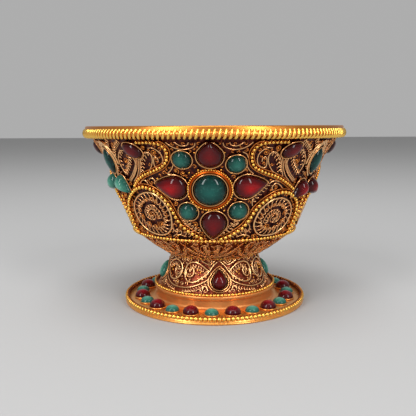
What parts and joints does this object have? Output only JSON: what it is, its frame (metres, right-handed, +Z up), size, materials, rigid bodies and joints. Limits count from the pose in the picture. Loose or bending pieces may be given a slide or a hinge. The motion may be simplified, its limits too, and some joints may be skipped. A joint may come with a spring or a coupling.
{
  "type": "offering cup",
  "caption": "Footed offering cup: a round bowl under pierced wire scrollwork and domed stones, with a roped rim, a short waisted stem and a flat round foot.",
  "frame": {"origin": "middle of the face that the foot stands on", "axes": "+Z up the cup's axis, -Y towards the panel that is called the front"},
  "size_m": [0.086, 0.086, 0.0586],
  "materials": {
    "gilt_metal": "bright gilding, worn warm in the hollows",
    "gilt_wire": "fine gilt wire, coppery where it turns down",
    "cup_lining": "plain gilt cup, dark red lacquer behind the wire work",
    "green_stone": "polished domed stone",
    "red_stone": "polished domed stone"
  },
  "bodies": {
    "root": {"foot_plate": "gilt_metal", "foot_edge_beads": "gilt_metal", "foot_collar": "gilt_metal", "collar_beads": "gilt_metal", "stem_sleeve": "gilt_metal", "stem_top_beads": "gilt_metal", "stem_filigree": "gilt_wire", "stem_stone_1": "red_stone", "stem_stone_2": "green_stone", "stem_stone_3": "red_stone", "stem_stone_4": "green_stone", "inner_cup": "cup_lining", "rim_rope": "gilt_metal", "border_beads": "gilt_metal", "calyx_filigree": "gilt_wire", "bowl_filigree_1": "gilt_wire", "centre_stone_1": "green_stone", "drop_stone_top_1": "red_stone", "drop_stone_bottom_1": "red_stone", "drop_stone_left_1": "red_stone", "drop_stone_right_1": "red_stone", "round_stone_upper_left_1": "green_stone", "round_stone_upper_right_1": "green_stone", "round_stone_lower_left_1": "green_stone", "round_stone_lower_right_1": "green_stone", "shoulder_stone_left_1": "red_stone", "shoulder_stone_right_1": "red_stone", "leaf_stone_left_1": "green_stone", "leaf_stone_right_1": "red_stone", "bud_stone_1": "green_stone", "bowl_filigree_2": "gilt_wire", "centre_stone_2": "green_stone", "drop_stone_top_2": "red_stone", "drop_stone_bottom_2": "red_stone", "drop_stone_left_2": "red_stone", "drop_stone_right_2": "red_stone", "round_stone_upper_left_2": "green_stone", "round_stone_upper_right_2": "green_stone", "round_stone_lower_left_2": "green_stone", "round_stone_lower_right_2": "green_stone", "shoulder_stone_left_2": "red_stone", "shoulder_stone_right_2": "red_stone", "leaf_stone_left_2": "red_stone", "leaf_stone_right_2": "green_stone", "bud_stone_2": "green_stone", "bowl_filigree_3": "gilt_wire", "centre_stone_3": "green_stone", "drop_stone_top_3": "red_stone", "drop_stone_bottom_3": "red_stone", "drop_stone_left_3": "red_stone", "drop_stone_right_3": "red_stone", "round_stone_upper_left_3": "green_stone", "round_stone_upper_right_3": "green_stone", "round_stone_lower_left_3": "green_stone", "round_stone_lower_right_3": "green_stone", "shoulder_stone_left_3": "red_stone", "shoulder_stone_right_3": "red_stone", "leaf_stone_left_3": "green_stone", "leaf_stone_right_3": "green_stone", "bud_stone_3": "green_stone"}
  },
  "joints": []
}
